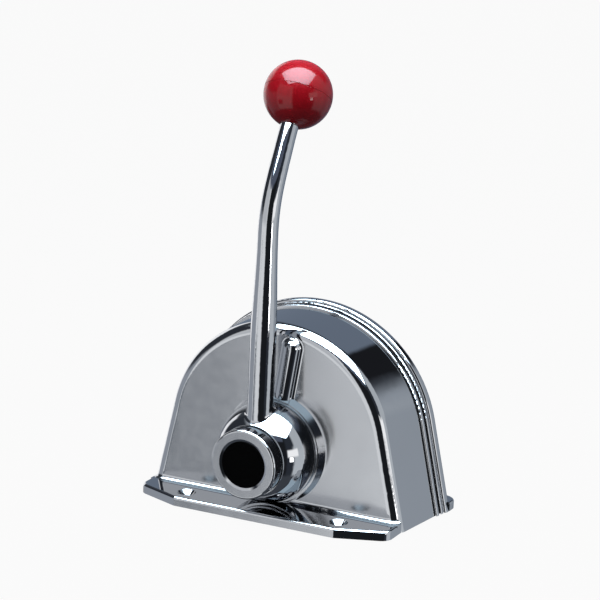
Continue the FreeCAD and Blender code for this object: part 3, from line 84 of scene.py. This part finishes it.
# Panels round the object, which metal and gloss mirror. Each has its middle and half width round the
# compass, its lowest and highest angle above the floor, the width of its soft edge, all in degrees,
# and its tone. Degrees count from the front (0) to the lever's right (90) and the back (180).
# A later panel stands in front of an earlier one. The room's own tone shows between them.
ROOM_TONE = (0.060, 0.068, 0.082)
STUDIO_PANELS = (
    ("front wall", -28.0, 36.0, -38.0, 46.0, 10.0, (0.95, 0.97, 0.99)),
    ("front shade", -34.5, 8.0, -24.0, -11.0, 2.5, (0.16, 0.18, 0.21)),
    ("front light", -22.0, 22.0, 2.0, 46.0, 8.0, (0.68, 0.70, 0.73)),
    ("left wall", -76.0, 29.0, -38.0, 4.0, 10.0, (0.38, 0.41, 0.46)),
    ("left flag", -76.0, 28.0, 4.0, 46.0, 12.0, (0.035, 0.040, 0.050)),
    ("left rear window", -126.0, 21.0, -18.0, 25.0, 7.0, (1.20, 1.20, 1.22)),
    ("black flag", 37.0, 28.0, -38.0, 42.0, 10.0, (0.014, 0.016, 0.019)),
    ("right flag", 72.0, 13.0, -38.0, 66.0, 8.0, (0.032, 0.038, 0.050)),
    ("right rear wall", 138.0, 22.0, -38.0, 18.0, 9.0, (0.38, 0.42, 0.47)),
    ("right wall", 101.0, 21.0, -38.0, 18.0, 9.0, (0.63, 0.67, 0.71)),
    ("right upper wall", 113.0, 28.0, 8.0, 52.0, 8.0, (0.58, 0.62, 0.66)),
    ("right strip", 78.0, 16.0, -1.0, 13.0, 5.0, (1.35, 1.35, 1.35)),
    ("rear wall", -170.0, 27.0, -38.0, 48.0, 8.0, (0.175, 0.215, 0.280)),
    ("rear flag", 160.0, 9.0, 18.0, 44.0, 4.0, (0.014, 0.015, 0.018)),
    ("front band", 0.0, 55.0, 32.0, 43.0, 4.0, (0.11, 0.13, 0.18)),
    ("left ceiling", -70.0, 34.0, 44.0, 72.0, 8.0, (0.38, 0.41, 0.45)),
    ("ceiling", -2.0, 44.0, 44.0, 100.0, 2.0, (1.15, 1.15, 1.17)),
    ("top", 0.0, 360.0, 70.0, 110.0, 14.0, (0.90, 0.91, 0.94)),
    ("side window", 72.0, 4.5, -10.0, -2.0, 2.0, (6.0, 6.0, 6.0)),
)

# Softbox overhead, square with the camera: sizes as a share of its height over the object. It is
# brightest in its middle, and weaker where the metal mirrors it for the second time.
SOFTBOX_HALF_WIDTH = 0.86
SOFTBOX_HALF_DEPTH = 0.64
SOFTBOX_FORWARD = 0.31
SOFTBOX_EDGE = 0.08
SOFTBOX_TONE = 15.0
SOFTBOX_EDGE_TONE = 8.5
SOFTBOX_TINT = (0.78, 0.98, 1.12)
SOFTBOX_TWICE_MIRRORED = 0.85

# A ray's glossy depth is under the first when one surface has mirrored it, and its diffuse depth is
# under the second as long as no plain surface has scattered it
ONCE_MIRRORED_DEPTH = 1.5
BEFORE_PLAIN_DEPTH = 0.5

# Least height that the softbox's place is divided by, as the sine of an angle above the floor
LEAST_HEIGHT = 0.001

# Degrees from straight ahead to straight behind, where the compass starts again
HALF_TURN = 180.0


def aim_camera():
    """Camera on the photograph's line of sight, leaning with it."""
    sa, ca = math.sin(CAMERA_AZIMUTH), math.cos(CAMERA_AZIMUTH)
    se, ce = math.sin(CAMERA_ELEVATION), math.cos(CAMERA_ELEVATION)
    back = Vector((sa * ce, -ca * ce, se))
    level_right = Vector((ca, sa, 0.0))
    level_up = Vector((-sa * se, ca * se, ce))
    c, s = math.cos(CAMERA_ROLL), math.sin(CAMERA_ROLL)
    right = level_right * c + level_up * s
    up = level_up * c - level_right * s
    place = back * CAMERA_DISTANCE + right * CAMERA_SIDE + up * CAMERA_RISE
    place += Vector((0.0, FACE_Y, 0.0))
    data = bpy.data.cameras.new("camera")
    data.sensor_width = SENSOR_WIDTH
    data.lens = LENS
    data.clip_end = CAMERA_REACH
    camera = bpy.data.objects.new("camera", data)
    turn = Matrix((right, up, back)).transposed().to_4x4()
    camera.matrix_world = Matrix.Translation(place) @ turn
    bpy.context.scene.collection.objects.link(camera)
    bpy.context.scene.camera = camera


class Graph:
    """A material's or world's nodes, made and joined with short calls."""

    def __init__(self, tree):
        self.tree = tree
        tree.nodes.clear()

    def add(self, kind, **values):
        node = self.tree.nodes.new(kind)
        for name, value in values.items():
            setattr(node, name, value)
        return node

    def join(self, source, target):
        self.tree.links.new(source, target)

    def math(self, operation, a, b=None):
        node = self.add("ShaderNodeMath", operation=operation)
        for socket, value in zip(node.inputs, (a, b)):
            if value is None:
                continue
            if isinstance(value, (int, float)):
                socket.default_value = value
            else:
                self.join(value, socket)
        return node.outputs[0]

    def between(self, value, middle, half, edge):
        """One within a range, zero outside it, with a soft edge."""
        distance = self.math("ABSOLUTE", self.math("SUBTRACT", value, middle))
        return self.fall(distance, half, edge)

    def fall(self, distance, half, edge):
        """One up to a distance, then softly down to zero."""
        node = self.add("ShaderNodeMapRange", interpolation_type="SMOOTHSTEP")
        node.inputs["From Min"].default_value = half + edge / 2
        node.inputs["From Max"].default_value = half - edge / 2
        self.join(distance, node.inputs["Value"])
        return node.outputs["Result"]

    def blend(self, factor, under, over):
        """Mix of two colours; each is a node's output or three numbers."""
        node = self.add("ShaderNodeMix", data_type="RGBA", clamp_factor=True)
        self.join(factor, node.inputs["Factor"])
        for name, colour in (("A", under), ("B", over)):
            socket = [one for one in node.inputs if one.name == name and one.type == "RGBA"][0]
            if isinstance(colour, tuple):
                socket.default_value = (*colour, 1.0)
            else:
                self.join(colour, socket)
        return [one for one in node.outputs if one.type == "RGBA"][0]

    def noise(self, place, scale, detail):
        node = self.add("ShaderNodeTexNoise")
        node.inputs["Scale"].default_value = scale
        node.inputs["Detail"].default_value = detail
        self.join(place, node.inputs["Vector"])
        return node.outputs["Fac"]

    def vary(self, factor, places, colours):
        """From one colour to another as the factor goes from the first place to the second."""
        node = self.add("ShaderNodeValToRGB")
        for element, place, colour in zip(node.color_ramp.elements, places, colours):
            element.position = place
            element.color = (*colour, 1.0)
        self.join(factor, node.inputs[0])
        return node.outputs[0]

    def vary_colour(self, factor, colour, spread):
        shades = [tuple(channel * share for channel in colour) for share in (1 - spread, 1 + spread)]
        return self.vary(factor, COLOUR_PLACES, shades)

    def vary_grey(self, factor, places, greys):
        return self.vary(factor, places, [(grey,) * 3 for grey in greys])

    def relief(self, factor, strength, distance, shader):
        bump = self.add("ShaderNodeBump")
        bump.inputs["Strength"].default_value = strength
        bump.inputs["Distance"].default_value = distance
        self.join(factor, bump.inputs["Height"])
        self.join(bump.outputs[0], shader.inputs["Normal"])


def new_material(name):
    material = bpy.data.materials.new(name)
    material.use_nodes = True
    return material, Graph(material.node_tree)


def principled(name, metallic):
    material, graph = new_material(name)
    shader = graph.add("ShaderNodeBsdfPrincipled")
    output = graph.add("ShaderNodeOutputMaterial")
    graph.join(shader.outputs[0], output.inputs["Surface"])
    shader.inputs["Metallic"].default_value = metallic
    return material, graph, shader


def surface(name, colour, metallic, roughness, scale, **settings):
    """Finish whose colour, gloss and relief vary a little over the surface."""
    material, graph, shader = principled(name, metallic)
    for socket, value in settings.get("sockets", {}).items():
        shader.inputs[socket].default_value = value
    place = graph.add("ShaderNodeTexCoord").outputs["Object"]
    if "stretch" in settings:
        mapping = graph.add("ShaderNodeMapping")
        mapping.inputs["Scale"].default_value = settings["stretch"]
        graph.join(place, mapping.inputs["Vector"])
        place = mapping.outputs[0]
    grain = graph.noise(place, scale, FINISH_DETAIL)
    tint = graph.vary_colour(grain, colour, settings.get("spread", FINISH_COLOUR_SPREAD))
    graph.join(tint, shader.inputs["Base Color"])
    graph.join(graph.vary_grey(grain, ROUGHNESS_PLACES, roughness), shader.inputs["Roughness"])
    if "bump" in settings:
        graph.relief(grain, settings["bump"], FINISH_RELIEF, shader)
    return material


def chrome_plate():
    """Polish on a casting: long soft waves, faint buffing marks, and a gentler shine on flat fronts."""
    material, graph, shader = principled("chrome", 1.0)
    place = graph.add("ShaderNodeTexCoord")
    cloud = graph.noise(place.outputs["Object"], CHROME_CLOUD_SCALE, CHROME_CLOUD_DETAIL)
    tint = graph.vary_colour(cloud, CHROME_COLOUR, CHROME_COLOUR_SPREAD)
    graph.join(tint, shader.inputs["Base Color"])
    marks = graph.noise(place.outputs["Object"], CHROME_MARK_SCALE, CHROME_MARK_DETAIL)
    polish = graph.vary_grey(marks, COLOUR_PLACES, CHROME_ROUGHNESS)
    satin = graph.vary_grey(marks, COLOUR_PLACES, CHROME_FRONT_ROUGHNESS)
    normal = graph.add("ShaderNodeSeparateXYZ")
    graph.join(place.outputs["Normal"], normal.inputs[0])
    off_front = graph.math("ADD", normal.outputs[1], 1.0)
    front = graph.fall(off_front, CHROME_FRONT_SPREAD, CHROME_FRONT_SPREAD)
    graph.join(graph.blend(front, polish, satin), shader.inputs["Roughness"])
    wave = graph.noise(place.outputs["Object"], CHROME_WAVE_SCALE, CHROME_WAVE_DETAIL)
    graph.relief(wave, 1.0, CHROME_WAVE_HEIGHT, shader)
    return material


def make_materials():
    """One finish for each of the record's slots: colour, metal, roughness range, grain scale and extras."""
    gloss_coat = {"Coat Weight": 0.65, "Coat Roughness": 0.03, "Coat IOR": 1.5, "Specular IOR Level": 0.12}
    no_gleam = {"Specular IOR Level": 0.02}
    # Marks of turned and ground pieces, drawn out along Y
    turned = (1, 0.1, 1)
    ground = (1, 0.15, 1)
    finishes = {
        "red_knob": ((0.44, 0.006, 0.015), 0.0, (0.42, 0.50), 40.0, {"spread": 0.05, "sockets": gloss_coat}),
        "black_button": ((0.001, 0.001, 0.001), 0.0, (0.5, 0.65), 300.0, {"bump": 0.15, "sockets": no_gleam}),
        "rubber": ((0.012, 0.012, 0.013), 0.0, (0.55, 0.75), 400.0, {"bump": 0.2}),
        "stainless": ((0.60, 0.59, 0.57), 1.0, (0.2, 0.34), 500.0, {"bump": 0.08, "stretch": turned}),
        "plated_steel": ((0.62, 0.61, 0.55), 1.0, (0.25, 0.45), 90.0, {"bump": 0.12}),
        "ground_steel": ((0.46, 0.46, 0.46), 1.0, (0.22, 0.38), 600.0, {"bump": 0.1, "stretch": ground}),
        "spring_steel": ((0.36, 0.36, 0.37), 1.0, (0.3, 0.42), 700.0, {"bump": 0.08}),
        "bronze": ((0.55, 0.36, 0.18), 1.0, (0.3, 0.5), 350.0, {"bump": 0.2, "spread": 0.12}),
        "brass": ((0.72, 0.53, 0.24), 1.0, (0.16, 0.3), 400.0, {"bump": 0.08, "spread": 0.08}),
        "cast_block": ((0.52, 0.52, 0.53), 1.0, (0.38, 0.55), 450.0, {"bump": 0.3}),
        "nylon": ((0.80, 0.78, 0.70), 0.0, (0.35, 0.5), 300.0, {"bump": 0.08}),
        "brake_lining": ((0.16, 0.10, 0.06), 0.0, (0.75, 0.9), 700.0, {"bump": 0.4, "spread": 0.4}),
    }
    materials = {"chrome": chrome_plate()}
    for name, (*values, extras) in finishes.items():
        materials[name] = surface(name, *values, **extras)
    return materials


def dress_nodes(materials):
    for entry in frame["record"]["subparts"]:
        mesh = nodes[entry["node"]].data
        mesh.materials.clear()
        mesh.materials.append(materials[entry["material_slot"]])


def squash_button_spring():
    """Gives the return spring its own copy of its mesh."""
    spring = nodes["button_spring"]
    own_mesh(spring)


def stage_object(name, mesh):
    thing = bpy.data.objects.new(name, mesh)
    bpy.context.scene.collection.objects.link(thing)
    return thing


def lay_floor():
    """Pale floor that reads as white and still takes the object's shadow."""
    mesh = bpy.data.meshes.new("floor")
    shape = bmesh.new()
    bmesh.ops.create_circle(shape, cap_ends=True, radius=FLOOR_RADIUS, segments=FLOOR_SIDES)
    shape.to_mesh(mesh)
    shape.free()
    material, graph = new_material("floor")
    diffuse = graph.add("ShaderNodeBsdfDiffuse")
    diffuse.inputs["Color"].default_value = FLOOR_COLOUR
    glow = graph.add("ShaderNodeEmission")
    mix = graph.add("ShaderNodeMixShader")
    path = graph.add("ShaderNodeLightPath")
    seen = graph.math("MAXIMUM", path.outputs["Is Camera Ray"], path.outputs["Is Transmission Ray"])
    graph.join(graph.math("MULTIPLY", seen, FLOOR_GLOW), mix.inputs[0])
    graph.join(diffuse.outputs[0], mix.inputs[1])
    graph.join(glow.outputs[0], mix.inputs[2])
    output = graph.add("ShaderNodeOutputMaterial")
    graph.join(mix.outputs[0], output.inputs["Surface"])
    mesh.materials.append(material)
    floor = stage_object("floor", mesh)
    floor.visible_glossy = False


def panel_mask(graph, compass, height, panel):
    """Where one panel stands, round the compass and above the floor."""
    _, middle, half, low, high, edge, _ = panel
    turned = graph.add("ShaderNodeMath", operation="WRAP")
    graph.join(graph.math("SUBTRACT", compass, middle), turned.inputs[0])
    turned.inputs[1].default_value = HALF_TURN
    turned.inputs[2].default_value = -HALF_TURN
    across = graph.fall(graph.math("ABSOLUTE", turned.outputs[0]), half, edge)
    upright = graph.between(height, (low + high) / 2, (high - low) / 2, edge)
    return graph.math("MULTIPLY", across, upright)


def softbox_tone(graph, x, y, z):
    """Mask and brightness of the overhead softbox, brightest in its middle."""
    sa, ca = math.sin(CAMERA_AZIMUTH), math.cos(CAMERA_AZIMUTH)
    over = graph.math("MAXIMUM", z, LEAST_HEIGHT)
    side = graph.math("ADD", graph.math("MULTIPLY", x, ca), graph.math("MULTIPLY", y, sa))
    away = graph.math("SUBTRACT", graph.math("MULTIPLY", y, ca), graph.math("MULTIPLY", x, sa))
    side = graph.math("DIVIDE", side, over)
    away = graph.math("DIVIDE", away, over)
    across = graph.between(side, 0.0, SOFTBOX_HALF_WIDTH, SOFTBOX_EDGE)
    along = graph.between(away, -SOFTBOX_FORWARD, SOFTBOX_HALF_DEPTH, SOFTBOX_EDGE)
    mask = graph.math("MULTIPLY", across, along)
    from_middle = graph.math("ADD", away, SOFTBOX_FORWARD)
    squares = [graph.math("MULTIPLY", value, value) for value in (side, from_middle)]
    square = graph.math("ADD", *squares)
    drop = graph.math("MULTIPLY", square, SOFTBOX_EDGE_TONE - SOFTBOX_TONE)
    tone = graph.math("MAXIMUM", graph.math("ADD", drop, SOFTBOX_TONE), SOFTBOX_EDGE_TONE)
    depth = graph.add("ShaderNodeLightPath").outputs["Glossy Depth"]
    once = graph.math("LESS_THAN", depth, ONCE_MIRRORED_DEPTH)
    most = graph.math("MAXIMUM", graph.math("MULTIPLY", once, SOFTBOX_TONE), SOFTBOX_TWICE_MIRRORED)
    tone = graph.math("MINIMUM", tone, most)
    return mask, tone


def set_world():
    """Even light for plain surfaces, and the studio's panels for metal and gloss to mirror."""
    world = bpy.data.worlds.new("studio")
    world.use_nodes = True
    graph = Graph(world.node_tree)
    direction = graph.add("ShaderNodeTexCoord").outputs["Generated"]
    split = graph.add("ShaderNodeSeparateXYZ")
    graph.join(direction, split.inputs[0])
    x, y, z = split.outputs
    compass = graph.math("DEGREES", graph.math("ARCTAN2", x, graph.math("MULTIPLY", y, -1.0)))
    height = graph.math("DEGREES", graph.math("ARCSINE", z))
    tone = ROOM_TONE
    for panel in STUDIO_PANELS:
        tone = graph.blend(panel_mask(graph, compass, height, panel), tone, panel[-1])
    mask, bright = softbox_tone(graph, x, y, z)
    glare = graph.add("ShaderNodeCombineColor")
    for socket, share in zip(glare.inputs[:3], SOFTBOX_TINT):
        graph.join(graph.math("MULTIPLY", bright, share), socket)
    tone = graph.blend(mask, tone, glare.outputs[0])
    path = graph.add("ShaderNodeLightPath")
    first = graph.math("LESS_THAN", path.outputs["Diffuse Depth"], BEFORE_PLAIN_DEPTH)
    mirrored = graph.math("MULTIPLY", path.outputs["Is Glossy Ray"], first)
    even = tuple(channel * AMBIENT_STRENGTH for channel in AMBIENT_COLOUR)
    back = graph.add("ShaderNodeBackground")
    graph.join(graph.blend(mirrored, even, tone), back.inputs["Color"])
    output = graph.add("ShaderNodeOutputWorld")
    graph.join(back.outputs[0], output.inputs["Surface"])
    bpy.context.scene.world = world


def light_studio():
    """Area lamps for plain surfaces; what mirrors sees the studio's panels in their place."""
    for name, place, size, power in LAMPS:
        data = bpy.data.lights.new(name, "AREA")
        data.shape = "RECTANGLE"
        data.size, data.size_y = size
        data.energy = power
        lamp = bpy.data.objects.new(name, data)
        lamp.location = place
        aim = Vector(LAMP_TARGET) - Vector(place)
        lamp.rotation_euler = aim.to_track_quat("-Z", "Y").to_euler()
        lamp.visible_glossy = False
        bpy.context.scene.collection.objects.link(lamp)


def set_view():
    bpy.context.scene.view_settings.view_transform = "Standard"


materials = make_materials()
dress_nodes(materials)
squash_button_spring()
lay_floor()
set_world()
light_studio()
aim_camera()
set_view()
